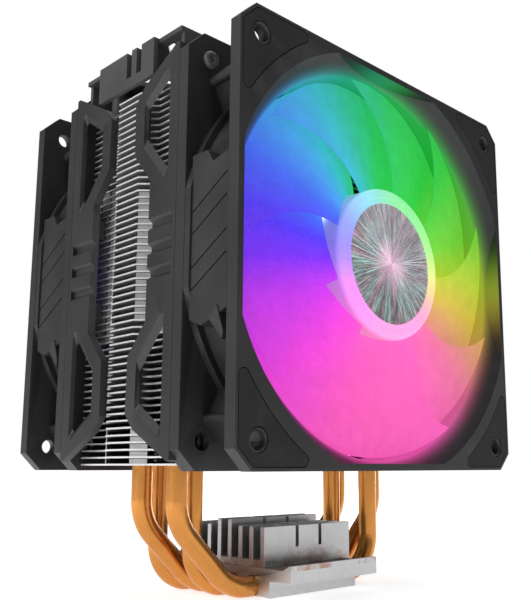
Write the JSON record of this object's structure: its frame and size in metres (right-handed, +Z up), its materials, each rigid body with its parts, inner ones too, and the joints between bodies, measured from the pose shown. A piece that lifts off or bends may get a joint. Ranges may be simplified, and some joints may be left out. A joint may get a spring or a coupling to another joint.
{
  "type": "cpu tower cooler",
  "caption": "Tower heat sink for a processor: fin stack on bent copper heat pipes with a finned base, and a lit axial fan clipped to each side by a black bracket.",
  "frame": {"origin": "centre of the contact face under the base, where it meets the processor", "axes": "+Z up along the fin stack, X along the fans' width, the front fan's intake faces -Y and air moves towards +Y"},
  "size_m": [0.12, 0.1056, 0.1597],
  "materials": {
    "base_aluminium": "bead-blasted satin",
    "fin_aluminium": "bright rolled sheet",
    "pipe_copper": "soft polished copper",
    "cover_black": "fine grain",
    "bracket_black": "fine grain",
    "fan_black": "fine grain",
    "pad_rubber": "matt",
    "pin_steel": "satin",
    "core_steel": "stacked laminations",
    "winding_copper": "enamelled wire",
    "board_green": "solder mask",
    "led_white": "clear lens",
    "sleeve_brass": "sintered bronze",
    "cap_white": "smooth",
    "blade_frosted": "frosted, lit from within",
    "medallion_foil": "iridescent foil with radial rays",
    "cup_steel": "drawn",
    "magnet_dark": "matt",
    "shaft_steel": "ground"
  },
  "bodies": {
    "heatsink": {"base_plate": "base_aluminium", "base_fin_block": "base_aluminium", "heat_pipe_1": "pipe_copper", "heat_pipe_2": "pipe_copper", "heat_pipe_3": "pipe_copper", "heat_pipe_4": "pipe_copper", "fin_stack": "fin_aluminium", "top_cover": "cover_black"},
    "front_fan_unit": {"front_bracket": "bracket_black", "front_bracket_pins": "pin_steel", "front_fan_frame": "fan_black", "front_intake_pads": "pad_rubber", "front_exhaust_pads": "pad_rubber", "front_stator_core": "core_steel", "front_stator_coils": "winding_copper", "front_circuit_board": "board_green", "front_leds": "led_white", "front_bearing_sleeve": "sleeve_brass", "front_bearing_cap": "cap_white"},
    "front_rotor": {"front_impeller": "blade_frosted", "front_hub_medallion": "medallion_foil", "front_rotor_cup": "cup_steel", "front_rotor_magnet": "magnet_dark", "front_shaft": "shaft_steel", "front_shaft_clip": "cap_white"},
    "rear_fan_unit": {"rear_bracket": "bracket_black", "rear_bracket_pins": "pin_steel", "rear_fan_frame": "fan_black", "rear_intake_pads": "pad_rubber", "rear_exhaust_pads": "pad_rubber", "rear_stator_core": "core_steel", "rear_stator_coils": "winding_copper", "rear_circuit_board": "board_green", "rear_leds": "led_white", "rear_bearing_sleeve": "sleeve_brass", "rear_bearing_cap": "cap_white"},
    "rear_rotor": {"rear_impeller": "blade_frosted", "rear_hub_medallion": "medallion_foil", "rear_rotor_cup": "cup_steel", "rear_rotor_magnet": "magnet_dark", "rear_shaft": "shaft_steel", "rear_shaft_clip": "cap_white"}
  },
  "joints": [
    {"name": "front_fan_release", "type": "slide", "parent": "heatsink", "child": "front_fan_unit", "axis": [0, -1, 0], "range_m": [0, 0.03]},
    {"name": "front_rotor_spin", "type": "hinge", "parent": "front_fan_unit", "child": "front_rotor", "pos_m": [0, -0.0428, 0.096], "axis": [0, -1, 0], "continuous": true},
    {"name": "rear_fan_release", "type": "slide", "parent": "heatsink", "child": "rear_fan_unit", "axis": [0, 1, 0], "range_m": [0, 0.03]},
    {"name": "rear_rotor_spin", "type": "hinge", "parent": "rear_fan_unit", "child": "rear_rotor", "pos_m": [0, 0.0374, 0.096], "axis": [0, -1, 0], "continuous": true}
  ]
}
